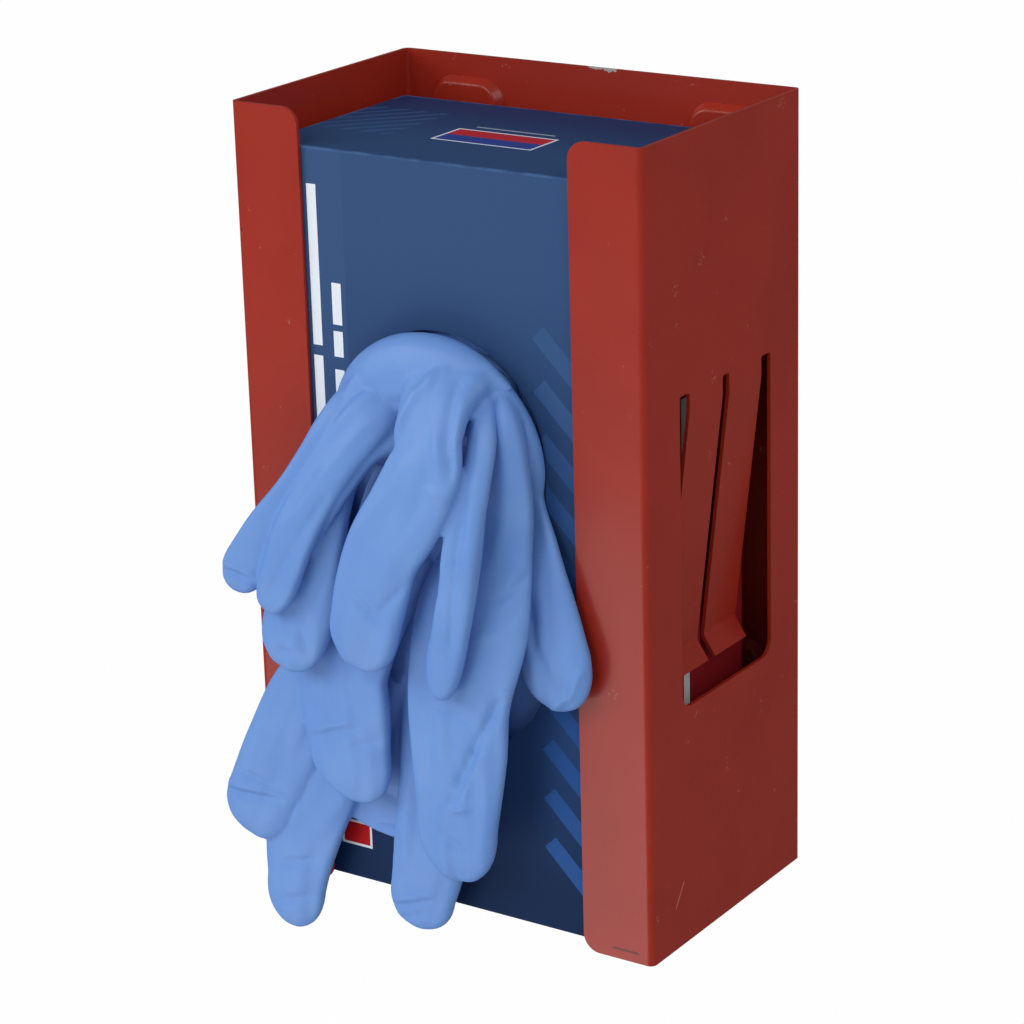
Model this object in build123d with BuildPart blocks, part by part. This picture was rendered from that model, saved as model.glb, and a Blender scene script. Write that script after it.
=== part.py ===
"""Wall-mounted dispenser holding one carton of disposable gloves.

The holder is one folded steel sheet: a back panel with four pressed pockets for magnets, two
side panels with spring fingers cut into their windows, two front flanges and a bottom shelf.
A glued card carton stands in it, and three gloves hang out of the carton's torn oval opening.

Frame: the origin is the centre of the back panel's rear face, +Z is up, +X is to the right
seen from the front, and the front flanges face -Y.
"""
from build123d import *
from math import atan2, cos, radians, sin, tan
import os

# ---- Holder, one folded sheet (millimetres)
holder_width = 143.5
holder_depth = 91.0
holder_height = 250.0
sheet = 1.2
bend_inside = 1.0
flange_width = 24.5
flange_corner = 5.5

# ---- Window in each side panel, and the spring fingers hanging in it
window_bottom = 76.5
window_height = 97.0
window_corner = 5.0
finger_width = 19.0
finger_slit = 4.0
window_margin = 5.6
finger_root = 3.0
slit_corner = 1.0
finger_drop = 84.5
lip_length = 7.2
lip_angle = 34.0
root_bend = 10.0
lip_bend = 3.0

# ---- Pockets pressed forward out of the back panel, one magnet in each
pocket_width = 27.0
pocket_height = 60.0
pocket_corner = 8.0
pocket_depth = 3.0
pocket_slope = 30.0
pocket_side_margin = 11.0
pocket_top_margin = 7.0
pocket_bottom_margin = 12.0
crest_round = 1.2
magnet_clearance = 0.3

# ---- Shelf folded forward from the back panel
shelf_rise = 2.2
shelf_front_margin = 8.0
shelf_corner = 3.0
relief_width = 2.5
relief_above_bend = 1.5

# ---- Carton and the gloves still in it
carton_width = 121.5
carton_depth = 72.5
carton_height = 235.3
board = 0.6
carton_edge = 0.8
flange_clearance = 0.3
finger_clearance = 0.3
opening_width = 73.0
opening_height = 132.0
opening_rise = 118.6
stack_clearance = 1.5
stack_headroom = 9.0
stack_setback = 4.4
stack_edge = 6.0

# ---- Gloves hanging out: thickness of a limp finger and of the flat cuff with its rolled hem
finger_film = 7.0
thumb_film = 6.0
cuff_film = 3.0
film_rounding = 0.45
palm_rounding = 0.35
cuff_out = 3.2
cuff_drop = 42.0
cuff_width = 38.0
cuff_x = -20.0
hem_drop = 98.5
hem_bead = 4.0
root_clearance = 0.3

# ---- Places that follow from the sizes
half_width = holder_width / 2
holder_bottom = -holder_height / 2
holder_top = holder_height / 2
bend_outside = bend_inside + sheet
front_face = -holder_depth
flange_edge = half_width - flange_width
shelf_top = holder_bottom + shelf_rise + sheet
carton_front = front_face + sheet + flange_clearance
carton_middle = carton_front + carton_depth / 2
opening_centre = shelf_top + opening_rise

# Directions of the upright sketch planes: out of the holder's front, and to its right
FORWARD = (0, -1, 0)
ACROSS = (1, 0, 0)

os.makedirs("parts", exist_ok=True)


def forward_plane(y):
    """Return the upright plane at y that faces forward, with X across and Z up."""
    return Plane(origin=(0, y, 0), x_dir=ACROSS, z_dir=FORWARD)


# ---- Holder ---------------------------------------------------------------------------
finger_pitch = finger_width + finger_slit
window_width = finger_pitch + finger_width + 2 * window_margin
window_low = holder_bottom + window_bottom
window_top = window_low + window_height
window_centre = -holder_depth / 2
finger_places = (window_centre - finger_pitch / 2, window_centre + finger_pitch / 2)

# A finger leans in until it meets the carton's side, then its lip turns out again
finger_bend_x = carton_width / 2 + finger_clearance + sheet
finger_bend_z = window_top - finger_drop
lip_x = finger_bend_x + lip_length * sin(radians(lip_angle))
lip_z = finger_bend_z - lip_length * cos(radians(lip_angle))

pocket_x = half_width - pocket_side_margin - pocket_width / 2
pocket_high = holder_top - pocket_top_margin - pocket_height / 2
pocket_low = holder_bottom + pocket_bottom_margin + pocket_height / 2
pocket_places = {
    "top_left": (-pocket_x, pocket_high),
    "top_right": (pocket_x, pocket_high),
    "bottom_left": (-pocket_x, pocket_low),
    "bottom_right": (pocket_x, pocket_low),
}
wall_inset = sheet * (1 - sin(radians(pocket_slope))) / cos(radians(pocket_slope))
floor_inset = wall_inset + pocket_depth * tan(radians(pocket_slope))

shelf_half = half_width - bend_outside - relief_width
shelf_underside = holder_bottom + shelf_rise
shelf_bend_top = shelf_underside + bend_outside
relief_top = shelf_bend_top + relief_above_bend
shelf_front = front_face + shelf_front_margin

with BuildPart() as holder:
    with BuildSketch(Plane.XY.offset(holder_bottom)):
        with Locations((0, -holder_depth / 2)):
            RectangleRounded(holder_width, holder_depth, bend_outside)
            RectangleRounded(holder_width - 2 * sheet, holder_depth - 2 * sheet,
                             bend_inside, mode=Mode.SUBTRACT)
        with Locations((0, front_face)):
            Rectangle(2 * flange_edge, 4 * sheet, mode=Mode.SUBTRACT)
    extrude(amount=holder_height)

    free_corners = holder.edges().filter_by(Axis.Y).filter_by(
        lambda edge: edge.center().Y < front_face + sheet
        and abs(abs(edge.center().X) - flange_edge) < sheet)
    fillet(free_corners, flange_corner)

    # The windows, whose top edge keeps the roots of the fingers
    with BuildSketch(Plane.YZ) as window:
        with Locations((window_centre, window_low + window_height / 2)):
            Rectangle(window_width, window_height)
        with Locations(*[(y, window_top - finger_root / 2) for y in finger_places]):
            Rectangle(finger_width, finger_root, mode=Mode.SUBTRACT)
        fillet(window.vertices().group_by(Axis.Y)[-1], slit_corner)
        fillet(window.vertices().group_by(Axis.Y)[0], window_corner)
    extrude(amount=holder_width, both=True, mode=Mode.SUBTRACT)

    for hand, inner in ((1, Side.RIGHT), (-1, Side.LEFT)):
        for place in finger_places:
            with BuildSketch(Plane.XZ.offset(-place)):
                with BuildLine():
                    FilletPolyline((hand * half_width, window_top - finger_root),
                                   (hand * half_width, window_top - 2 * finger_root),
                                   (hand * finger_bend_x, finger_bend_z),
                                   (hand * lip_x, lip_z), radius=[root_bend, lip_bend])
                    offset(amount=sheet, side=inner)
                make_face()
            extrude(amount=finger_width / 2, both=True)

    # The pockets, with the sheet's thickness kept over their sloping walls
    with BuildSketch(forward_plane(-sheet)):
        with Locations(*pocket_places.values()):
            RectangleRounded(pocket_width, pocket_height, pocket_corner)
    extrude(amount=pocket_depth, taper=pocket_slope)
    crests = holder.edges().filter_by_position(
        Axis.Y, -sheet - pocket_depth - 0.01, -sheet - pocket_depth + 0.01)
    fillet(crests, crest_round)
    with BuildSketch(forward_plane(0)):
        with Locations(*pocket_places.values()):
            RectangleRounded(pocket_width - 2 * wall_inset, pocket_height - 2 * wall_inset,
                             pocket_corner - wall_inset)
    extrude(amount=pocket_depth, taper=pocket_slope, mode=Mode.SUBTRACT)

    # The back panel is notched at both ends of the shelf's bend
    with BuildSketch(forward_plane(sheet)):
        with Locations((0, holder_bottom)):
            Rectangle(2 * (shelf_half + relief_width), 2 * (relief_top - holder_bottom))
            Rectangle(2 * shelf_half, 2 * (relief_top - holder_bottom), mode=Mode.SUBTRACT)
            Rectangle(2 * shelf_half, 2 * (shelf_bend_top - holder_bottom))
    extrude(amount=3 * sheet, mode=Mode.SUBTRACT)
    with BuildSketch(Plane.YZ):
        with BuildLine():
            FilletPolyline((0, relief_top), (0, shelf_underside),
                           (shelf_front, shelf_underside), radius=bend_outside)
            offset(amount=sheet, side=Side.RIGHT)
        make_face()
    extrude(amount=shelf_half, both=True)
    shelf_corners = holder.edges().filter_by(Axis.Z).filter_by(
        lambda edge: abs(edge.center().Y - shelf_front) < 0.01)
    fillet(shelf_corners, shelf_corner)

holder.part.label = "holder"
export_step(holder.part, "parts/holder.step")

# ---- Magnets, flush with the rear face of the back panel ------------------------------
magnet_width = pocket_width - 2 * (floor_inset + magnet_clearance)
magnet_height = pocket_height - 2 * (floor_inset + magnet_clearance)
magnet_corner = pocket_corner - floor_inset - magnet_clearance

for corner, place in pocket_places.items():
    with BuildPart() as magnet:
        with BuildSketch(forward_plane(0)):
            with Locations(place):
                RectangleRounded(magnet_width, magnet_height, magnet_corner)
        extrude(amount=pocket_depth)
    magnet.part.label = "magnet_" + corner
    export_step(magnet.part, "parts/magnet_" + corner + ".step")

# ---- Carton, glued shut, with the oval torn out of its front ---------------------------
with BuildPart() as carton:
    with BuildSketch(Plane.XY.offset(shelf_top)):
        with Locations((0, carton_middle)):
            RectangleRounded(carton_width, carton_depth, carton_edge)
    extrude(amount=carton_height)
    with BuildSketch(Plane.XY.offset(shelf_top + board)):
        with Locations((0, carton_middle)):
            Rectangle(carton_width - 2 * board, carton_depth - 2 * board)
    extrude(amount=carton_height - 2 * board, mode=Mode.SUBTRACT)
    with BuildSketch(forward_plane(carton_front + 2 * board)):
        with Locations((0, opening_centre)):
            SlotOverall(opening_height, opening_width, rotation=90)
    extrude(amount=4 * board, mode=Mode.SUBTRACT)

carton.part.label = "carton"
export_step(carton.part, "parts/carton.step")

# ---- The gloves still in the carton, one soft block ------------------------------------
stack_front = carton_front + board + stack_setback
stack_rear = carton_front + carton_depth - board - stack_clearance
stack_height = carton_height - 2 * board - stack_headroom

with BuildPart() as glove_stack:
    with BuildSketch(Plane.XY.offset(shelf_top + board)):
        with Locations((0, (stack_front + stack_rear) / 2)):
            RectangleRounded(carton_width - 2 * (board + stack_clearance),
                             stack_rear - stack_front, stack_edge)
    extrude(amount=stack_height)
    fillet(glove_stack.edges().group_by(Axis.Z)[-1], stack_edge - board)

glove_stack.part.label = "glove_stack"
export_step(glove_stack.part, "parts/glove_stack.step")

# ---- Gloves hanging out ----------------------------------------------------------------
# Every place on a glove is measured from the middle of the carton's opening: x across, z up
# and out in front of the carton. A glove is limp film, so each finger is a flat pocket of air
# that leans out of the opening, its outline drawn round discs of (x, z, width).
root_out = root_clearance - board - stack_setback


def outline(discs):
    """Return the flat shape that wraps each disc to the next one."""
    with BuildSketch() as shape:
        for pair in zip(discs, discs[1:]):
            with BuildSketch(mode=Mode.PRIVATE) as link:
                for x, y, width in pair:
                    with Locations((x, y)):
                        Circle(width / 2)
                make_hull()
            add(link.sketch)
    return shape.sketch


def gathered_palm(discs, reach):
    """Make a palm bunched in the opening, from the stack to its reach in front of the carton."""
    with BuildPart(mode=Mode.PRIVATE) as palm:
        with BuildSketch(forward_plane(carton_front - root_out)):
            with Locations((0, opening_centre)):
                add(outline(discs))
        extrude(amount=reach - root_out)
        fillet(palm.edges().group_by(Axis.Y)[0], palm_rounding * reach)
    return palm.part


def limp_finger(discs, root_lean, tip_lean, film):
    """Make a flat finger whose root and tip lie at (z, out)."""
    root_z, near = root_lean
    tip_z, far = tip_lean
    lean = atan2(far - near, root_z - tip_z)
    upright = Plane(origin=(0, carton_front - near, opening_centre + root_z), x_dir=ACROSS,
                    z_dir=(0, -cos(lean), sin(lean)))
    with BuildPart(mode=Mode.PRIVATE) as finger:
        with BuildSketch(upright):
            add(outline([(x, (z - root_z) / cos(lean), width) for x, z, width in discs]))
        extrude(amount=film / 2, both=True)
        faces = finger.faces().sort_by(Axis(origin=upright.origin, direction=upright.z_dir))
        fillet(faces[0].edges() + faces[-1].edges(), film_rounding * film)
    return finger.part


with BuildPart() as glove_front:
    add(gathered_palm([(-11, 42, 30), (10, 46, 29), (-4, 36, 32)], 20))
    add(limp_finger([(-20, 37, 15), (-28, 27, 14), (-36.5, 15.5, 15), (-47, 4, 14.5),
                     (-55, -7, 14.5), (-56.5, -9.5, 14.5)], (37, 14), (-17, 26), finger_film))
    add(limp_finger([(-15, 40, 15), (-23, 29, 14), (-30.5, 16.5, 13.5), (-36, 4.5, 15.5),
                     (-40, -6, 14), (-43.5, -15, 11)], (40, 17), (-20, 28), thumb_film))
    add(limp_finger([(-12, 40, 16), (-17.5, 32, 15), (-24, 17, 15), (-30, 0, 17.5),
                     (-39, -22, 21), (-43, -31, 19)], (40, 14), (-41, 22.5), finger_film))
    add(limp_finger([(8, 46, 18), (9.5, 33.5, 25), (4, 17, 26.5), (-4.5, 1, 24), (-8.5, -13, 24),
                     (-12, -22, 20)], (47, 16.5), (-32, 29.5), finger_film))
    add(limp_finger([(14, 44, 9), (21, 30, 10.5), (22.5, 12.5, 12.5), (21.5, -5.5, 11.5),
                     (18, -22, 11.5), (16, -31.5, 12)], (44, 15.5), (-38, 26), thumb_film))

glove_front.part.label = "glove_front"
export_step(glove_front.part, "parts/glove_front.step")

with BuildPart() as glove_middle:
    add(gathered_palm([(29, 36, 7), (29.5, 22, 9)], 8))
    add(limp_finger([(30, 35, 13), (28.5, 21, 20), (24, 3, 30), (19, -17, 37), (16, -38, 35.5),
                     (14.5, -57, 33.5), (13.5, -78, 27), (13.5, -90, 20)],
                    (36, 5), (-100, 19), finger_film))
    add(limp_finger([(32, 28.5, 8), (35.5, 12, 11), (38.5, -5.5, 17), (42.5, -24, 21),
                     (44, -31, 21)], (28.5, 4.5), (-42, 7.5), thumb_film))

glove_middle.part.label = "glove_middle"
export_step(glove_middle.part, "parts/glove_middle.step")

with BuildPart() as glove_back:
    add(gathered_palm([(-14, -22, 36), (8, -26, 34), (-8, -40, 36), (-14, -22, 36)], 6))
    add(limp_finger([(-22, -10, 26), (-27, -36, 33), (-29, -52.5, 34), (-28.5, -67, 30)],
                    (-4, 8), (-84, 14.5), finger_film))
    add(limp_finger([(-24, -24, 20), (-35, -34, 22), (-47, -52, 24), (-57, -73, 25),
                     (-63.5, -87, 24), (-67, -94, 20)], (-22, 7.5), (-104, 11.5), finger_film))
    add(limp_finger([(-22, -42, 22), (-31.5, -58, 22), (-44, -84, 24), (-53, -104, 24),
                     (-57.5, -124, 21), (-58, -126.5, 20)], (-40, 5), (-136, 8), finger_film))
    add(limp_finger([(-6, -30, 20), (-4.5, -55.5, 21), (-3, -78, 23), (-4.5, -98.5, 25),
                     (-7.5, -113, 23)], (-30, 4.5), (-125, 8.5), finger_film))
    # The open end hangs flat, with a rolled hem along its lower edge
    with BuildSketch(forward_plane(carton_front - cuff_out)):
        with Locations((cuff_x, opening_centre - (cuff_drop + hem_drop) / 2)):
            Rectangle(cuff_width, hem_drop - cuff_drop)
    extrude(amount=cuff_film / 2, both=True)
    with BuildSketch(Plane.YZ.offset(cuff_x)):
        with Locations((carton_front - cuff_out, opening_centre - hem_drop)):
            Circle(hem_bead / 2)
    extrude(amount=cuff_width / 2, both=True)

glove_back.part.label = "glove_back"
export_step(glove_back.part, "parts/glove_back.step")
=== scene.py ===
"""Looks of a loaded glove dispenser: a folded steel holder, its carton and the gloves that hang out."""
import math

import bmesh
import bpy
from mathutils import Matrix, Vector, noise


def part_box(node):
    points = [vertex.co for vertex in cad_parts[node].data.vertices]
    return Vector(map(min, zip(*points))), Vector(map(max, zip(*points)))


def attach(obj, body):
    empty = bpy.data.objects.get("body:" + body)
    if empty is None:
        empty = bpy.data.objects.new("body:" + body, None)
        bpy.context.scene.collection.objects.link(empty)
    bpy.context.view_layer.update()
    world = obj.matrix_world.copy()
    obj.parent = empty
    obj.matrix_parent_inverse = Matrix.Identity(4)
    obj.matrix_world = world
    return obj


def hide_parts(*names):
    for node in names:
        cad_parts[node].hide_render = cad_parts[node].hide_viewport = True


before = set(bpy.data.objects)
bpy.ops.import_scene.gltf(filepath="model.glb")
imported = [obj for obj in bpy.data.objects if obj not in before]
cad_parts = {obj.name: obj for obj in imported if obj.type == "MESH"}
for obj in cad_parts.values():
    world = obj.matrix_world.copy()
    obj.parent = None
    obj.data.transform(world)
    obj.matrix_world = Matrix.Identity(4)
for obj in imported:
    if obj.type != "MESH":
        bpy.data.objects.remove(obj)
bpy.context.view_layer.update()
MM = 0.001


# ---- Setting ---------------------------------------------------------------------------
# The holder hangs on a wall, so the floor lies well under it. Camera, floor and lamps are
# set up as in a small product studio with a white sweep.
def srgb(red, green, blue):
    """Return a linear colour from the 0 to 255 values of a swatch."""
    def linear(value):
        share = value / 255
        return share / 12.92 if share <= 0.04045 else ((share + 0.055) / 1.055) ** 2.4
    return (linear(red), linear(green), linear(blue), 1.0)


bpy.context.scene.view_settings.view_transform = "Standard"

CAMERA_AZIMUTH = math.radians(34.007)
CAMERA_HEIGHT = math.radians(19.008)
CAMERA_ROLL = math.radians(-1.634)
CAMERA_DISTANCE = 1019.6 * MM
CAMERA_TRACK = Vector((-4.17, -5.97)) * MM
CAMERA_LENS = 115.84
CAMERA_AIM = Vector((0, -45.6, 0)) * MM


def place_camera():
    """Aim a long lens at the middle of the holder from its right front."""
    away = Vector((math.sin(CAMERA_AZIMUTH) * math.cos(CAMERA_HEIGHT),
                   -math.cos(CAMERA_AZIMUTH) * math.cos(CAMERA_HEIGHT),
                   math.sin(CAMERA_HEIGHT)))
    level = Vector((0, 0, 1)).cross(away).normalized()
    upward = away.cross(level)
    right = math.cos(CAMERA_ROLL) * level + math.sin(CAMERA_ROLL) * upward
    top = math.cos(CAMERA_ROLL) * upward - math.sin(CAMERA_ROLL) * level
    stand = CAMERA_AIM + away * CAMERA_DISTANCE + right * CAMERA_TRACK.x + top * CAMERA_TRACK.y
    lens = bpy.data.cameras.new("camera")
    lens.lens = CAMERA_LENS
    lens.sensor_width = 36
    camera = bpy.data.objects.new("camera", lens)
    camera.matrix_world = Matrix.Translation(stand) @ Matrix((right, top, away)).transposed().to_4x4()
    bpy.context.scene.collection.objects.link(camera)
    bpy.context.scene.camera = camera


def add_lamp(name, azimuth, height, distance, size, power):
    """Hang a square soft box that faces the holder."""
    lamp = bpy.data.lights.new(name, "AREA")
    lamp.shape = "SQUARE"
    lamp.size = size
    lamp.energy = power
    box = bpy.data.objects.new(name, lamp)
    turn, rise = math.radians(azimuth), math.radians(height)
    away = Vector((math.sin(turn) * math.cos(rise), -math.cos(turn) * math.cos(rise), math.sin(rise)))
    box.location = CAMERA_AIM + away * distance
    box.rotation_euler = away.to_track_quat("Z", "Y").to_euler()
    bpy.context.scene.collection.objects.link(box)


place_camera()
add_lamp("key_lamp", azimuth=-48, height=24, distance=1.6, size=0.7, power=7)
add_lamp("front_lamp", azimuth=-6, height=34, distance=1.7, size=0.8, power=6.6)
add_lamp("fill_lamp", azimuth=75, height=38, distance=1.8, size=0.9, power=5.5)
add_lamp("low_card", azimuth=-27, height=-34, distance=0.9, size=0.52, power=1.6)


class Shade:
    """Wrap one output of a material's node so that maths on it adds the Math nodes."""

    def __init__(self, tree, socket):
        self.tree = tree
        self.socket = socket

    def combine(self, operation, *values):
        """Add one Math node over values and other outputs."""
        node = self.tree.nodes.new("ShaderNodeMath")
        node.operation = operation
        for slot, value in enumerate(values):
            if isinstance(value, Shade):
                self.tree.links.new(value.socket, node.inputs[slot])
            else:
                node.inputs[slot].default_value = value
        return Shade(self.tree, node.outputs[0])

    def __add__(self, other):
        return self.combine("ADD", self, other)

    def __radd__(self, other):
        return self.combine("ADD", other, self)

    def __sub__(self, other):
        return self.combine("SUBTRACT", self, other)

    def __rsub__(self, other):
        return self.combine("SUBTRACT", other, self)

    def __mul__(self, other):
        return self.combine("MULTIPLY", self, other)

    def __rmul__(self, other):
        return self.combine("MULTIPLY", other, self)

    def __abs__(self):
        return self.combine("ABSOLUTE", self)

    def below(self, limit):
        return self.combine("LESS_THAN", self, limit)

    def above(self, limit):
        return self.combine("GREATER_THAN", self, limit)

    def within(self, low, high):
        """Return a mask that is 1 between two limits."""
        return self.above(low) * self.below(high)

    def repeat(self, pitch):
        """Return the distance past the last whole pitch."""
        return self.combine("FLOORED_MODULO", self, pitch)

    def smallest(self, other):
        return self.combine("MINIMUM", self, other)

    def largest(self, other):
        return self.combine("MAXIMUM", self, other)

    def ease(self, start, end):
        """Return 0 before start and 1 past end, with a smooth step between."""
        node = self.tree.nodes.new("ShaderNodeMapRange")
        node.interpolation_type = "SMOOTHSTEP"
        self.tree.links.new(self.socket, node.inputs["Value"])
        node.inputs["From Min"].default_value = start
        node.inputs["From Max"].default_value = end
        return Shade(self.tree, node.outputs["Result"])


class Finish:
    """A material and the few ways that its nodes are added."""

    def __init__(self, name):
        self.material = bpy.data.materials.new(name)
        self.material.use_nodes = True
        self.tree = self.material.node_tree
        self.surface = self.tree.nodes["Principled BSDF"]
        self.output = self.tree.nodes["Material Output"]

    def node(self, kind, settings=None, **sockets):
        """Add a node, with its settings first and then the values or links of its sockets."""
        made = self.tree.nodes.new(kind)
        for key, value in (settings or {}).items():
            setattr(made, key, value)
        for key, value in sockets.items():
            self.put(made.inputs[key.replace("_", " ")], value)
        return made

    def put(self, socket, value):
        """Give a socket a plain value or a link."""
        if isinstance(value, Shade):
            value = value.socket
        if isinstance(value, bpy.types.NodeSocket):
            self.tree.links.new(value, socket)
        else:
            socket.default_value = value

    def place(self):
        """Return the three Object coordinates in millimetres."""
        coordinates = self.node("ShaderNodeTexCoord")
        split = self.node("ShaderNodeSeparateXYZ", Vector=coordinates.outputs["Object"])
        return [Shade(self.tree, out) * (1 / MM) for out in split.outputs]

    def grain(self, pitch, detail=2.0, roughness=0.5):
        """Return noise whose lumps are about pitch millimetres across."""
        coordinates = self.node("ShaderNodeTexCoord")
        spread = self.node("ShaderNodeMapping", Vector=coordinates.outputs["Object"],
                           Scale=(1 / (pitch * MM),) * 3)
        made = self.node("ShaderNodeTexNoise", Vector=spread.outputs[0], Scale=1.0, Detail=detail,
                         Roughness=roughness)
        return Shade(self.tree, made.outputs["Fac"])

    def blend(self, mask, first, second):
        """Mix two colours by a mask."""
        made = self.node("ShaderNodeMix", {"data_type": "RGBA"})
        self.put(made.inputs["Factor"], mask)
        self.put(made.inputs["A"], first)
        self.put(made.inputs["B"], second)
        return made.outputs["Result"]

    def stroke(self, across, along, start, end, width):
        """Return a mask of a line with round ends, or of a dot where both ends are one place."""
        run = (end[0] - start[0], end[1] - start[1])
        square = max(run[0] ** 2 + run[1] ** 2, 1e-6)
        share = ((across - start[0]) * run[0] + (along - start[1]) * run[1]) * (1 / square)
        share = share.largest(0.0).smallest(1.0)
        aside = across - start[0] - share * run[0]
        ahead = along - start[1] - share * run[1]
        return (aside * aside + ahead * ahead).below((width / 2) ** 2)

    def relief(self, height, depth):
        """Return a normal bumped by a height field whose full step is depth millimetres."""
        return self.node("ShaderNodeBump", Distance=depth * MM, Height=height).outputs["Normal"]

    def set(self, **sockets):
        """Set sockets of the surface."""
        for key, value in sockets.items():
            self.put(self.surface.inputs[key.replace("_", " ")], value)


def studio_sweep():
    """Return the floor's finish: white to the camera and in gloss, and still taking shadows."""
    finish = Finish("studio_sweep")
    finish.set(Base_Color=(0.9, 0.9, 0.9, 1), Roughness=0.9)
    rays = finish.node("ShaderNodeLightPath")
    seen = Shade(finish.tree, rays.outputs["Is Camera Ray"])
    gloss = Shade(finish.tree, rays.outputs["Is Glossy Ray"])
    through = Shade(finish.tree, rays.outputs["Is Transmission Ray"])
    glow = finish.node("ShaderNodeEmission", Strength=seen + through + gloss * ROOM_GLOSS)
    mix = finish.node("ShaderNodeMixShader")
    finish.put(mix.inputs[0], (seen + gloss + through).smallest(1.0) * FLOOR_GLOW)
    finish.put(mix.inputs[1], finish.surface.outputs[0])
    finish.put(mix.inputs[2], glow.outputs[0])
    finish.put(finish.output.inputs["Surface"], mix.outputs[0])
    return finish.material


# Floor in metres, the share of it that glows, and how strong the white is as light and in gloss
FLOOR_DROP = 0.9
FLOOR_SIZE = 24.0
FLOOR_GLOW = 0.985
ROOM_LIGHT = 0.5
ROOM_GLOSS = 0.1


def lay_floor():
    """Lay the pale floor under the holder."""
    mesh = bpy.data.meshes.new("floor")
    half = FLOOR_SIZE / 2
    corners = [(-half, -half, -FLOOR_DROP), (half, -half, -FLOOR_DROP),
               (half, half, -FLOOR_DROP), (-half, half, -FLOOR_DROP)]
    mesh.from_pydata(corners, [], [(0, 1, 2, 3)])
    floor = bpy.data.objects.new("floor", mesh)
    floor.data.materials.append(studio_sweep())
    bpy.context.scene.collection.objects.link(floor)


def light_room():
    """Give the room a plain white air, brighter where it is seen than where it lights."""
    world = bpy.data.worlds.new("room")
    world.use_nodes = True
    bpy.context.scene.world = world
    nodes, links = world.node_tree.nodes, world.node_tree.links
    shine = nodes["Background"]
    shine.inputs["Color"].default_value = (1, 1, 1, 1)
    rays = nodes.new("ShaderNodeLightPath")
    sight = Shade(world.node_tree, rays.outputs["Is Camera Ray"])
    gloss = Shade(world.node_tree, rays.outputs["Is Glossy Ray"])
    strength = sight + gloss * ROOM_GLOSS + (1 - sight.largest(gloss)) * ROOM_LIGHT
    links.new(strength.socket, shine.inputs["Strength"])


lay_floor()
light_room()


# ---- Holder ----------------------------------------------------------------------------
# One folded sheet of 1.2 mm steel in a red powder coat. The coat is satin with a little
# orange peel, and it is worn: specks, a chip on the rear top edge and a few scratches.
holder_low, holder_high = (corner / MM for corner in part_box("holder"))

# Wear in millimetres: places are (x, z) on the flanges and (y, z) on the right side, the chip
# spans a stretch of x, and a point nearer to a face than FACE_SKIN lies on it
FLANGE_SPOT = (-70.5, 85.9)
FLANGE_SPOT_WIDTH = 1.6
FOOT_RISE = 3.3
FOOT_SCRATCH = ((58.0, holder_low.z + FOOT_RISE), (66.4, holder_low.z + FOOT_RISE))
FOOT_SCRATCH_WIDTH = 0.8
SIDE_SCRATCH = ((-77.4, -111.2), (-72.6, -104.3))
SIDE_SCRATCH_WIDTH = 0.5
CHIP_SPAN = (-2.8, 8.0)
CHIP_DROP = 1.4
CHIP_DEEP = 2.0
FACE_SKIN = 0.1


def wear(finish, red, across, deep, high):
    """Return the coat's colour with its spot, its two scratches and the chip at the rear top edge."""
    on_front = deep.below(holder_low.y + FACE_SKIN)
    on_right = across.above(holder_high.x - FACE_SKIN)
    bruise = finish.stroke(across, high, FLANGE_SPOT, FLANGE_SPOT, FLANGE_SPOT_WIDTH)
    foot = finish.stroke(across, high, *FOOT_SCRATCH, FOOT_SCRATCH_WIDTH)
    red = finish.blend((bruise + foot).smallest(1.0) * on_front * 0.8, red, srgb(84, 22, 20))
    side = finish.stroke(deep, high, *SIDE_SCRATCH, SIDE_SCRATCH_WIDTH)
    red = finish.blend(side * on_right * 0.6, red, srgb(206, 132, 118))
    toward_edge = high.ease(holder_high.z - 1.2, holder_high.z)
    ragged = (finish.grain(2.4, detail=3) + toward_edge * 0.25).above(0.68)
    on_edge = deep.above(-CHIP_DEEP) * high.above(holder_high.z - CHIP_DROP)
    return finish.blend(ragged * across.within(*CHIP_SPAN) * on_edge, red, srgb(176, 170, 166))


def powder_coat():
    """Return the red powder coat, with pale specks, orange peel and wear."""
    finish = Finish("powder_coat")
    across, deep, high = finish.place()
    tone = finish.grain(45, detail=3)
    red = finish.blend(tone.ease(0.3, 0.7), srgb(151, 39, 25), srgb(158, 43, 28))
    speck = finish.grain(1.6, detail=1).above(0.79)
    red = finish.blend(speck * 0.35, red, srgb(196, 120, 104))
    dust = finish.grain(7, detail=0).above(0.8) * finish.grain(0.9, detail=1).above(0.6)
    red = finish.blend(dust * 0.25, red, srgb(206, 150, 134))
    finish.set(Base_Color=wear(finish, red, across, deep, high), Roughness=0.34,
               Specular_IOR_Level=0.35, Coat_Weight=0.15, Coat_Roughness=0.1)
    peel = finish.grain(2.2, detail=2)
    fine = finish.grain(0.5, detail=2)
    finish.set(Normal=finish.relief(peel * 0.7 + fine * 0.3, 0.05))
    return finish.material


def dress(node, material):
    """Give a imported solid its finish."""
    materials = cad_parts[node].data.materials
    materials.clear()
    materials.append(material)


dress("holder", powder_coat())


# ---- Magnets ---------------------------------------------------------------------------
# Four sintered ferrite blocks, bonded into the pockets of the back panel and ground flush
# with it. They hold the dispenser on a steel cabinet or wall panel.
def ferrite():
    """Return the dark ground ferrite."""
    finish = Finish("ferrite")
    grain = finish.grain(0.8, detail=4, roughness=0.7)
    finish.set(Base_Color=finish.blend(grain, srgb(38, 38, 41), srgb(66, 66, 70)), Roughness=0.62,
               Metallic=0.3)
    finish.set(Normal=finish.relief(grain, 0.05))
    return finish.material


ferrite_finish = ferrite()
for corner in ("top_left", "top_right", "bottom_left", "bottom_right"):
    dress("magnet_" + corner, ferrite_finish)


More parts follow.
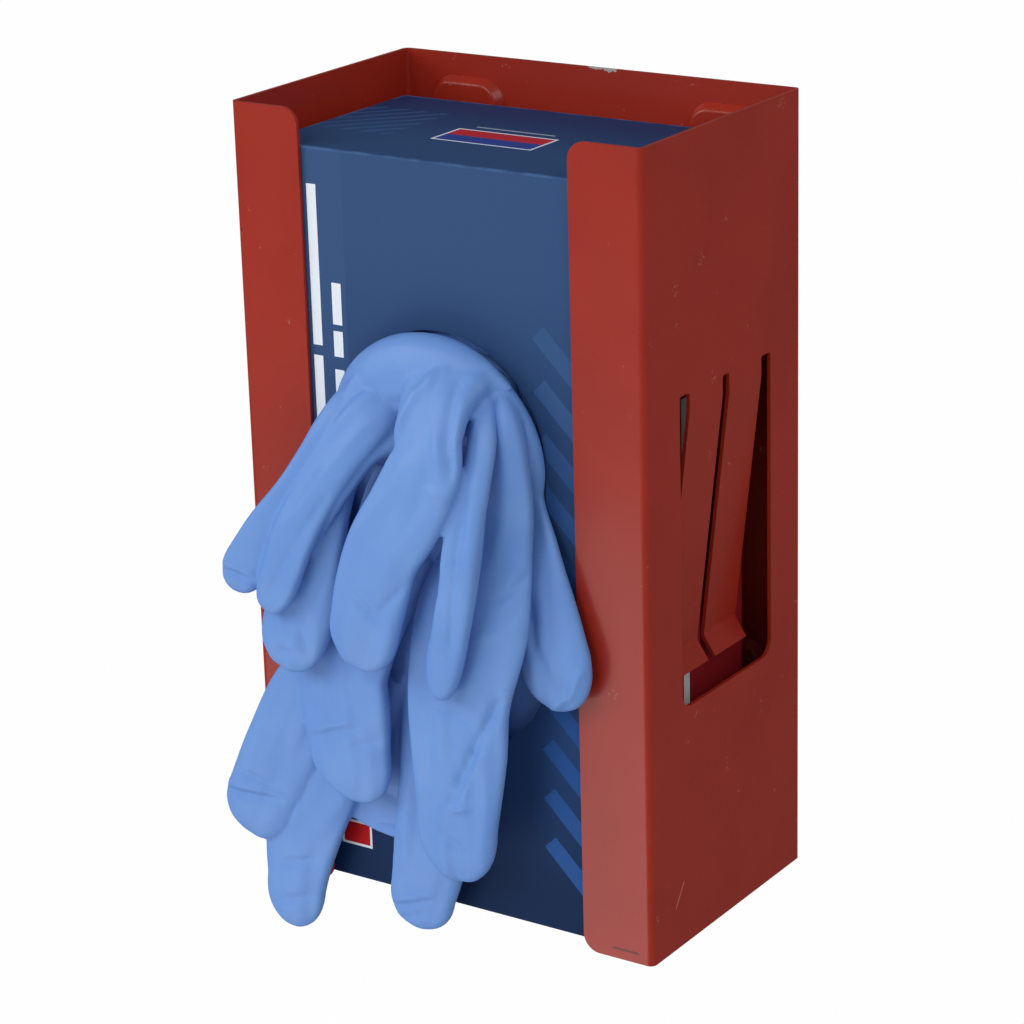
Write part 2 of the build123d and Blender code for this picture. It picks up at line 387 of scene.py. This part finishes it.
# ---- Carton ----------------------------------------------------------------------------
# A folded and glued carton of printed card, its oval torn out along a perforated line. The
# print is plain colour: blue that fades to navy, slanting bars, white rules and two labels.
# Light and shade are painted over it: the top darker toward the rear, the front lighter low down.
carton_low, carton_high = (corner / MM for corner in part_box("carton"))
OPENING_WIDTH = 73.0
OPENING_HEIGHT = 132.0
OPENING_RISE = 118.6
BOARD = 0.6
carton_front = carton_low.y
opening_centre = carton_low.z + OPENING_RISE

# Print in millimetres: bars slant down to the right from (x, z), the front's rules are (x, low z,
# high z), and the side's rule is a stretch of y and two of z. Labels and fields are (low x,
# high x, near, far), where near and far are along z on the front and along y on the top
BAR_PITCH = 16.0
BAR_THICKNESS = 5.7
BAR_COUNT = 11
BAR_START = (37.0, 69.2)
BAND_EDGE = -33.0
RULE_WIDTH = 3.4
FRONT_RULES = ((-44.2, -10.0, 49.6), (-44.2, 52.8, 102.4), (-36.5, 60.0, 72.9), (-36.5, 50.0, 58.0),
               (-36.5, 31.0, 46.0))
FRONT_LABEL = (-43.0, -33.0, -110.0, -103.0)
SIDE_RULE = (-53.0, -49.6)
SIDE_RULE_LOW = (-80.0, -46.0)
SIDE_RULE_HIGH = (2.0, 41.0)
TOP_LABEL = (-17.0, 17.0, -64.0, -50.0)
TOP_RULE = (-14.0, 14.0, -46.0, -45.0)
HATCH_FIELD = (-60.0, -32.0, -66.0, -34.0)
HATCH_PITCH = 7.5
HATCH_LINE = 2.6
LABEL_RIM = 0.8
WORN_EDGE = 0.9
WORN_DROP = 0.7

RULE_WHITE = srgb(226, 232, 240)
LABEL_RED = srgb(186, 16, 24)


def framed(first, second, field, rim=0.0):
    """Return a mask of a rectangle over two coordinates, grown by a rim."""
    low, high, near, far = field
    return first.within(low - rim, high + rim) * second.within(near - rim, far + rim)


def front_print_and_painted_light(finish, across, high):
    """Return the front's colour: blue over navy, painted lighter low down where the gloves shade it, with
    slanting bars, white rules and a label.
    """
    # The print fades up from navy. The blue above z -45, seen mostly from z -60 to -20, is painted light: it
    # is lighter than the print, to make up for the gloves' shade.
    blue = finish.blend(high.ease(-125, -45), srgb(14, 40, 78), srgb(40, 72, 122))
    blue = finish.blend(high.ease(-60, 0), blue, srgb(43, 71, 114))
    blue = finish.blend(high.ease(35, 90), blue, srgb(51, 79, 122))
    blue = finish.blend(across.below(BAND_EDGE) * high.ease(-40, 20) * 0.5, blue, srgb(58, 86, 128))
    # Along a bar, across + high stays the same, and its end is cut square
    slant = across + high - sum(BAR_START)
    step = slant.repeat(BAR_PITCH)
    bars = step.above(BAR_PITCH - BAR_THICKNESS * math.sqrt(2))
    bars = bars * slant.within(-BAR_COUNT * BAR_PITCH, 0)
    bars = bars * (across - (step - BAR_PITCH) * 0.5).above(BAR_START[0])
    bar_blue = finish.blend(high.ease(-60, 70), srgb(42, 86, 154), srgb(54, 86, 132))
    blue = finish.blend(bars, blue, bar_blue)
    rules = 0.0
    for middle, low, top in FRONT_RULES:
        rules = abs(across - middle).below(RULE_WIDTH / 2) * high.within(low, top) + rules
    blue = finish.blend(rules, blue, RULE_WHITE)
    blue = finish.blend(framed(across, high, FRONT_LABEL, LABEL_RIM), blue, RULE_WHITE)
    return finish.blend(framed(across, high, FRONT_LABEL), blue, LABEL_RED)


def top_print_and_shade(finish, across, deep):
    """Return the top's colour: painted shade that darkens it toward the rear, slanting lines, a rule and a
    two-coloured label.
    """
    low, high, near, far = TOP_LABEL
    rear_half = (low, high, (near + far) / 2, far)
    # Painted shade: the top grows darker toward the rear, where the back panel shades it.
    blue = finish.blend(deep.ease(-72, -20), srgb(38, 70, 114), srgb(29, 49, 96))
    hatch = (across - deep).repeat(HATCH_PITCH).below(HATCH_LINE) * framed(across, deep, HATCH_FIELD)
    blue = finish.blend(hatch * 0.4, blue, srgb(56, 96, 152))
    blue = finish.blend(framed(across, deep, TOP_RULE) * 0.5, blue, srgb(196, 202, 214))
    blue = finish.blend(framed(across, deep, TOP_LABEL, LABEL_RIM), blue, srgb(205, 212, 224))
    blue = finish.blend(framed(across, deep, TOP_LABEL), blue, srgb(38, 62, 138))
    return finish.blend(framed(across, deep, rear_half), blue, srgb(172, 32, 46))


def side_print(finish, deep, high):
    """Return the sides' colour: crimson with white rules."""
    rule = deep.within(*SIDE_RULE) * (high.within(*SIDE_RULE_LOW) + high.within(*SIDE_RULE_HIGH))
    return finish.blend(rule, srgb(140, 26, 32), srgb(214, 214, 216))


def printed_card():
    """Return the carton's print with painted light and shade, its plain grey inside and its pale worn edges.
    """
    finish = Finish("printed_card")
    across, deep, high = finish.place()
    half = carton_high.x
    middle = (carton_low.y + carton_high.y) / 2
    on_front = deep.below(carton_front + BOARD / 3)
    on_top = high.above(carton_high.z - BOARD / 3)
    on_side = abs(across).above(half - BOARD / 3)
    room = (-half, half, carton_low.y, carton_high.y)
    inside = framed(across, deep, room, -BOARD / 2) * high.below(carton_high.z - BOARD / 2)
    colour = finish.blend(on_side, srgb(18, 42, 78), side_print(finish, deep, high))
    colour = finish.blend(on_front, colour, front_print_and_painted_light(finish, across, high))
    colour = finish.blend(on_top, colour, top_print_and_shade(finish, across, deep))
    colour = finish.blend(inside, colour, srgb(150, 146, 138))
    sides = abs(across).above(half - WORN_EDGE)
    ends = abs(deep - middle).above(carton_high.y - middle - WORN_EDGE)
    patchy = finish.grain(9, detail=3).ease(0.35, 0.6)
    worn = high.above(carton_high.z - WORN_DROP) * (sides + ends).smallest(1.0) * patchy
    colour = finish.blend(worn * 0.3, colour, srgb(84, 124, 178))
    finish.set(Base_Color=colour, Roughness=0.6, Specular_IOR_Level=0.12)
    finish.set(Normal=finish.relief(finish.grain(3, detail=3), 0.03))
    return finish.material


dress("carton", printed_card())


# ---- Gloves ----------------------------------------------------------------------------
# Thin dipped nitrile film, limp, with a little air left in the fingers. Places are measured
# from the middle of the carton's opening: x across, z up and out in front of the carton.
FORWARD = Vector((0, -1, 0))

# Points round a tube, then millimetres between its rings and in the grid of the joined skin
RING = 72
STEP = 0.8
SKIN_PITCH = 0.65
SKIN_ROUNDS = 5

# How a tube's end closes: how much closer its rings stand, the two powers of its bow, the least
# share of its width that is left, and the power by which its film thins with that width
TIP_CROWD = 1.4
TIP_FULLNESS = 2.4
TIP_BLUNTNESS = 2.2
TIP_LEAST = 0.03
TIP_FILM_POWER = 0.7

# Ripples of the limp film in millimetres: their height, and their size across and along a tube
DRAPE_DEPTH = 0.9
DRAPE_PITCH = 5.0
DRAPE_LENGTH = 26.0

# A fold's height runs along it as half a wave that is cut short by FOLD_END at both ends and
# raised to FOLD_FADE, and it falls off to the sides by FOLD_SIDE
FOLD_END = 0.12
FOLD_FADE = 0.6
FOLD_SIDE = 1.6


def spot(x, z, out):
    """Return a point of a glove in millimetres."""
    return Vector((x, carton_front - out, opening_centre + z))


def smooth_line(values, share):
    """Return a value on the smooth line through evenly numbered values."""
    last = len(values) - 1
    number = min(int(share * last), last - 1)
    part = share * last - number
    before = values[max(number - 1, 0)]
    first, second = values[number], values[number + 1]
    after = values[min(number + 2, last)]
    return [0.5 * (2 * b + (c - a) * part + (2 * a - 5 * b + 4 * c - d) * part ** 2
                   + (3 * b - a - 3 * c + d) * part ** 3)
            for a, b, c, d in zip(before, first, second, after)]


def fold_height(point, folds):
    """Return how far the folds of (x, z, to x, to z, breadth, depth) move the film at a point."""
    height = 0.0
    for x0, z0, x1, z1, breadth, depth in folds:
        run = Vector((x1 - x0, z1 - z0))
        here = Vector((point.x - x0, point.z - opening_centre - z0))
        share = max(0.0, min(1.0, here.dot(run) / max(run.length_squared, 1e-6)))
        gap = (here - run * share).length
        fade = math.sin(math.pi * (FOLD_END + (1 - 2 * FOLD_END) * share)) ** FOLD_FADE
        height += depth * fade * math.exp(-(gap / breadth) ** FOLD_SIDE)
    return height


def limp_tube(build, stations, tip=None, folds=(), level=False, plump=3.0, drape=1.0):
    """Add a closed flattened tube through stations of (x, z, out, width, film, twist).

    A tip is the (x, z, out) where the tube closes round. A level tube keeps its breadth along x,
    a higher plump squares its section, and drape scales its ripples.
    """
    stations = [tuple(values) + (0,) * (6 - len(values)) for values in stations]
    length = sum((spot(*b[:3]) - spot(*a[:3])).length for a, b in zip(stations, stations[1:]))
    count = max(6, int(length / STEP))
    line = [smooth_line(stations, number / count) for number in range(count + 1)]
    spots = [spot(*values[:3]) for values in line]
    widths = [values[3] for values in line]
    films = [values[4] for values in line]
    twists = [math.radians(values[5]) for values in line]
    if tip:
        end, start = spot(*tip), spots[-1]
        lead = (spots[-1] - spots[-4]).normalized() * (end - start).length
        rounds = max(10, int((end - start).length / STEP * TIP_CROWD))
        last_width, last_film = widths[-1], films[-1]
        for number in range(1, rounds + 1):
            share = math.sin(math.pi / 2 * number / rounds)
            spots.append((start + lead * share).lerp(start.lerp(end, share), share))
            rest = max(max(0.0, 1 - share ** TIP_FULLNESS) ** (1 / TIP_BLUNTNESS), TIP_LEAST)
            widths.append(last_width * rest)
            films.append(last_film * rest ** TIP_FILM_POWER)
            twists.append(twists[len(line) - 1])
    # Each tube takes its ripples from its own place, so that no two are alike
    seed = stations[0][0] * 0.37 + stations[-1][1] * 0.11
    rings = []
    travel = 0.0
    for number, centre in enumerate(spots):
        travel += (centre - spots[max(number - 1, 0)]).length
        before, after = spots[max(number - 2, 0)], spots[min(number + 2, len(spots) - 1)]
        along = (after - before).normalized()
        side = Vector((1, 0, 0)) - along * along.x if level else FORWARD.cross(along)
        side = Matrix.Rotation(twists[number], 3, along) @ side.normalized()
        face = along.cross(side)
        face = face if face.dot(FORWARD) >= 0 else -face
        ring = []
        for turn in range(RING):
            angle = 2 * math.pi * turn / RING
            wide = math.copysign(abs(math.cos(angle)) ** (2 / plump), math.cos(angle))
            thick = math.copysign(abs(math.sin(angle)) ** (2 / plump), math.sin(angle))
            offset = wide * widths[number] / 2
            point = centre + side * offset + face * (thick * films[number] / 2)
            if thick > 0:
                grain = Vector((offset / DRAPE_PITCH, travel / DRAPE_LENGTH, seed))
                lift = drape * DRAPE_DEPTH * noise.noise(grain) + fold_height(point, folds)
                point += face * (lift * min(1.0, thick * 1.5))
            ring.append(build.verts.new(point * MM))
        rings.append(ring)
    for first, second in zip(rings, rings[1:]):
        for turn in range(RING):
            after = (turn + 1) % RING
            build.faces.new((first[turn], second[turn], second[after], first[after]))
    build.faces.new(list(reversed(rings[0])))
    build.faces.new(rings[-1])


def dip_glove(name, node, tubes):
    """Join a glove's tubes into one skin that stands for its solid."""
    build = bmesh.new()
    for tube in tubes:
        limp_tube(build, **tube)
    bmesh.ops.recalc_face_normals(build, faces=build.faces)
    mesh = bpy.data.meshes.new(name)
    build.to_mesh(mesh)
    build.free()
    rough = bpy.data.objects.new(name + "_rough", mesh)
    bpy.context.scene.collection.objects.link(rough)
    remesh = rough.modifiers.new("skin", "REMESH")
    remesh.mode = "VOXEL"
    remesh.voxel_size = SKIN_PITCH * MM
    relax = rough.modifiers.new("relax", "SMOOTH")
    relax.factor = 0.5
    relax.iterations = SKIN_ROUNDS
    graph = bpy.context.evaluated_depsgraph_get()
    skin = bpy.data.meshes.new_from_object(rough.evaluated_get(graph))
    bpy.data.objects.remove(rough)
    skin.name = name
    skin.materials.clear()
    skin.materials.append(nitrile_finish)
    for face in skin.polygons:
        face.use_smooth = True
    glove = bpy.data.objects.new(name, skin)
    bpy.context.scene.collection.objects.link(glove)
    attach(glove, "root")
    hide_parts(node)


def nitrile():
    """Return the blue nitrile film."""
    finish = Finish("nitrile")
    tone = finish.grain(30, detail=3)
    blue = finish.blend(tone.ease(0.3, 0.7), srgb(98, 142, 211), srgb(106, 149, 214))
    finish.set(Base_Color=blue, Roughness=0.52, Specular_IOR_Level=0.45)
    finish.set(Normal=finish.relief(finish.grain(5, detail=4), 0.15))
    return finish.material


nitrile_finish = nitrile()

# The middle of the arc at the opening's top, as (x, z), and how far its crown comes forward
OPENING_ARC = (0.8, (OPENING_HEIGHT - OPENING_WIDTH) / 2)
ARC_RISE = 4.0


def along_arc(radius, rise, width, films):
    """Return stations that follow the top of the opening, from a film for each angle in degrees."""
    middle_x, middle_z = OPENING_ARC
    stations = []
    for angle, film in films.items():
        turn = math.radians(angle)
        stations.append((middle_x + radius * math.cos(turn), middle_z + radius * math.sin(turn),
                         rise + ARC_RISE * math.sin(turn), width, film))
    return stations


hood_path = along_arc(25.5, 2.5, 24, {192: 9, 165: 13, 138: 16, 111: 16, 84: 16, 60: 13, 38: 6})
hood = dict(stations=hood_path, plump=2.1, drape=0.5)
crown = dict(stations=[(4, 46, -4, 44, 30), (4, 47, 1, 44, 28), (5, 45, 5, 38, 21),
                       (6, 43.5, 8, 28, 14)],
             level=True, plump=2.1, drape=0.5)
sheet = dict(stations=[(-4, 50, -5, 30, 9), (-7, 48.5, 2, 32, 9), (-11.5, 44, 9.5, 30, 8),
                       (-19, 35.5, 16, 21, 7), (-25.5, 24, 20, 17, 5.5), (-31.5, 11, 23, 13, 4.5),
                       (-37, 0, 24.5, 10, 3.5)],
             folds=[(-1, 54, -12, 40, 2.2, 1.3), (-12, 40, -24, 18, 1.7, 0.8), (-8, 56, -20, 42, 2.4, -0.9),
                    (-20, 46, -31, 26, 1.8, 0.6), (-9, 43, -19, 25, 1.4, -0.9),
                    (-28, 31, -40, 10, 1.6, 0.7)])
finger_a = dict(stations=[(-14, 49, -2, 16, 9), (-17.5, 46, 7, 18, 9), (-21, 41, 13.5, 18, 8, -4),
                          (-25.4, 34.5, 17, 17, 7, -8), (-31, 26.4, 19, 15, 6.5, -12),
                          (-38.4, 15.9, 22, 13.5, 6, -12), (-48.2, 4, 24, 13.6, 6, -12),
                          (-55.6, -7.8, 25, 15.1, 6.5, -10)],
                tip=(-58.9, -17.9, 25.5),
                folds=[(-63.9, -9.8, -53.7, -12.2, 1.1, -1.3), (-63.5, -8, -53.5, -10.2, 1.2, 0.7)])
finger_b = dict(stations=[(-7, 49, 0, 14, 8), (-11, 45.5, 9, 15, 8), (-15.5, 40, 16, 15.5, 7, 3),
                          (-21.8, 30.8, 20.3, 15, 6, 6), (-29.8, 17.5, 23.5, 14.5, 6, 8),
                          (-36.1, 5.1, 26.5, 15.5, 6, 8), (-40.7, -6.6, 27.5, 15, 6, 6)],
                tip=(-47.6, -21, 27.5),
                folds=[(-44, -15.1, -36.3, -0.3, 1.6, -1.0), (-36.3, -0.3, -24.1, 18.5, 1.6, -0.9),
                       (-37.3, 7.8, -25.2, 25.5, 1.8, 0.8), (-25.2, 25.5, -13.4, 41.3, 1.8, 0.8)])
finger_c = dict(stations=[(-20, 38, 10, 12, 7), (-26.5, 20.9, 16, 12, 7), (-31.5, 1.9, 19, 15.5, 7),
                          (-35.5, -12.2, 20.5, 22.1, 7), (-40.2, -24.8, 21.5, 24, 7)],
                tip=(-46.2, -41.2, 22),
                folds=[(-46.4, -34.4, -40.7, -34.9, 1.5, -1.0), (-45.2, -21.5, -42.8, -32.4, 1.6, 0.8),
                       (-38, -20, -35, -34, 1.8, -0.8)])
finger_d = dict(stations=[(11, 58, 4, 28, 12), (10.5, 55, 10, 27, 10), (10, 50, 15.5, 25, 8, 4),
                          (10, 42, 20, 24, 7, 6), (10.3, 32, 23.5, 25.5, 7, 6), (4.5, 18.2, 26, 26, 7, 4),
                          (-2.4, 6.2, 28, 25, 7, 2), (-6.2, -5.7, 29, 25, 7), (-9.2, -17.9, 29.5, 24, 7)],
                tip=(-13.5, -31.8, 29.5),
                folds=[(-11.6, -6.9, -1.8, -14.6, 1.1, -1.2), (-11, -5.5, -1.2, -13, 1.3, 0.6),
                       (-1.7, -12, 7.4, -1.6, 1.2, -0.8), (16.7, 56.7, 18.5, 41.9, 2.2, -2.0),
                       (18.5, 41.9, 21.6, 31.5, 1.8, -1.8), (15, 44, 17, 34, 2.2, 1.0),
                       (-1, 40, 4, 52, 1.8, 1.6), (4, 52, 12, 61, 1.8, 1.4), (14, 27, 21.3, 25.3, 1.4, 0.9)])
finger_e = dict(stations=[(14, 48, -6, 12, 9), (17.5, 49.5, 3, 12, 8), (22, 46, 11, 10.5, 6),
                          (25.2, 39, 16, 9.5, 5), (25.2, 29, 20, 10, 5), (24, 19, 22.5, 11.5, 5.5),
                          (23.1, 8, 24.5, 12.6, 6), (21.4, -5.7, 25.5, 11.8, 6),
                          (17.7, -22, 26, 12.4, 6)],
                tip=(14.6, -38.3, 26),
                folds=[(18.1, 23.6, 16.7, 5, 1.3, 0.9), (16.7, 5, 14.4, -22, 1.3, 0.9),
                       (24.4, 25, 22.7, 6.3, 1.4, -1.0), (22.7, 6.3, 20.3, -19, 1.4, -1.0)])
dip_glove("front_glove", "glove_front",
          [hood, crown, sheet, finger_a, finger_b, finger_c, finger_d, finger_e])

finger_f = dict(stations=[(14, 51, -4, 13, 10), (20, 48.5, 3, 16, 10), (25.3, 42.5, 8, 17, 9),
                          (28, 33, 10, 17, 8, -6), (28.4, 19.3, 11.5, 20.5, 6.5, -8),
                          (25, 5.6, 13, 28, 6, -6), (20.7, -14.3, 16.5, 37, 6.5, -4),
                          (15.9, -37.6, 18, 35.8, 7), (15.2, -56.9, 18.5, 33.9, 7),
                          (13.8, -80, 18.5, 28.6, 7)],
                tip=(13.5, -100.5, 18),
                folds=[(24, 51, 20.5, 30, 1.8, -1.5), (30, 47, 33.5, 27, 1.7, 0.8),
                       (30.8, -6.8, 40.5, 2.7, 1.3, -1.2), (22.6, -19.6, 36.8, -14.7, 1.8, 0.8),
                       (9.1, -42.8, 20.5, -45.5, 1.3, -1.0), (14.4, -73.4, 22.3, -55.4, 1.5, -1.6),
                       (22.3, -55.4, 31.4, -37.6, 1.5, -1.6), (17, -74, 25, -56, 1.6, 0.8),
                       (11.4, -75.7, 21.6, -73.4, 1.2, 1.0), (8, -84, 18, -88, 1.5, -0.8)])
shoulder_path = along_arc(27.0, 2.0, 19, {66: 7, 45: 10, 22: 10, 0: 9, -20: 5})
shoulder = dict(stations=shoulder_path, plump=2.1, drape=0.5)
finger_g = dict(stations=[(28, 34, -5, 9, 5), (31.5, 20.1, 1, 9, 5), (36.3, 6.9, 4.5, 13.2, 5),
                          (39.1, -8.7, 6.5, 19.6, 5.5, -8), (42.9, -25.7, 7.5, 23.3, 6, -8)],
                tip=(44.6, -42.2, 7.5),
                folds=[(53.2, -27.6, 49.9, -35.5, 1.2, 1.1), (49.9, -35.5, 43.1, -41.3, 1.2, 1.1),
                       (36, -9.1, 37.7, -21.4, 1.6, -1.4), (37.7, -21.4, 41.7, -30.7, 1.6, -1.4),
                       (41.7, -30.7, 47.9, -33.6, 1.6, -1.2)])
dip_glove("middle_glove", "glove_middle", [finger_f, shoulder, finger_g])

sleeve = dict(stations=[(2, 20, -2, 46, 8), (-4, 6, 2, 48, 7), (-11, -13, 4, 46, 6), (-15, -33, 4.5, 45, 5),
                        (-18, -60, 4, 43.5, 4), (-19.1, -95.2, 3.4, 44, 3.4)],
              folds=[(-34.5, -82.4, -16.3, -85.1, 1.4, -0.9), (-29.1, -74.4, -27.1, -87.5, 1.8, 0.9),
                     (-17.8, -52, -10.5, -40.7, 1.4, 1.6), (-12, -66, -6, -60, 1.2, -1.0)])
hem = dict(stations=[(-41, -92.5, 3.2, 3.4, 3.6), (-31, -96.2, 3.4, 3.4, 3.6), (-19, -97.8, 3.6, 3.4, 3.8),
                     (-7, -96.8, 3.4, 3.4, 3.6), (3, -93.5, 3.2, 3.4, 3.6)],
           plump=2, drape=0)
finger_h = dict(stations=[(-12, 2, 5, 28, 7), (-22, -18, 10, 32, 7, 6), (-30.5, -38.1, 13, 36, 7, 6),
                          (-29.8, -52.9, 14, 35.2, 7, 4), (-28.1, -68.3, 14.5, 29.5, 7)],
                tip=(-29, -83.9, 14.5),
                folds=[(-42.8, -65.8, -24.1, -58.5, 1.6, -1.0), (-42, -63.5, -24, -56, 1.8, 0.8),
                       (-26.3, -65.6, -14.8, -60.9, 1.6, -0.8)])
finger_i = dict(stations=[(-20, -22, 7, 18, 7), (-29.4, -31.9, 9, 20, 7, -6),
                          (-47.4, -53.6, 10, 23.1, 7, -8),
                          (-57.2, -74.9, 10.5, 26.4, 7, -8), (-66, -92.6, 11, 25, 7, -6)],
                tip=(-73.8, -105.3, 11),
                folds=[(-79, -91.4, -57.9, -91.6, 1.3, -1.3), (-79, -89, -58, -89, 1.4, 0.8),
                       (-71.3, -83.5, -55.7, -88.7, 1.5, -0.9)])
finger_j = dict(stations=[(-20, -42, 5.5, 18, 7), (-27.5, -55.8, 6, 20, 7), (-42.2, -81.2, 7, 24.1, 7),
                          (-53.5, -104.2, 7.5, 26.4, 7), (-56.7, -121.3, 8, 21.6, 7)],
                tip=(-59.2, -137, 8),
                folds=[(-59.6, -114.3, -48.3, -111, 1.3, -1.0), (-59.9, -106.4, -50.3, -92.1, 1.6, 0.9),
                       (-59.6, -127.3, -50.2, -124, 1.3, -0.9)])
finger_k = dict(stations=[(-3.8, -33.2, 4.5, 19.7, 6), (-3.2, -55.6, 5.5, 21.7, 6.5),
                          (-3.1, -78.3, 7, 24.3, 7),
                          (-4.2, -98.3, 8, 26, 7), (-7.4, -113, 8, 23.2, 7)],
                tip=(-9.4, -125.8, 8),
                folds=[(-16.5, -119.4, -2.6, -114, 1.1, -1.0), (-16.5, -117.4, -2.6, -112, 1.1, 0.6),
                       (-14.8, -123.1, -5.1, -119, 1.1, -0.7)])
dip_glove("back_glove", "glove_back", [sleeve, hem, finger_h, finger_i, finger_j, finger_k])


# ---- Gloves still in the carton --------------------------------------------------------
# The rest of the pack, the same nitrile film lying flat on itself. Little of it is seen
# behind the hanging gloves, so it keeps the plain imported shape.
dress("glove_stack", nitrile_finish)
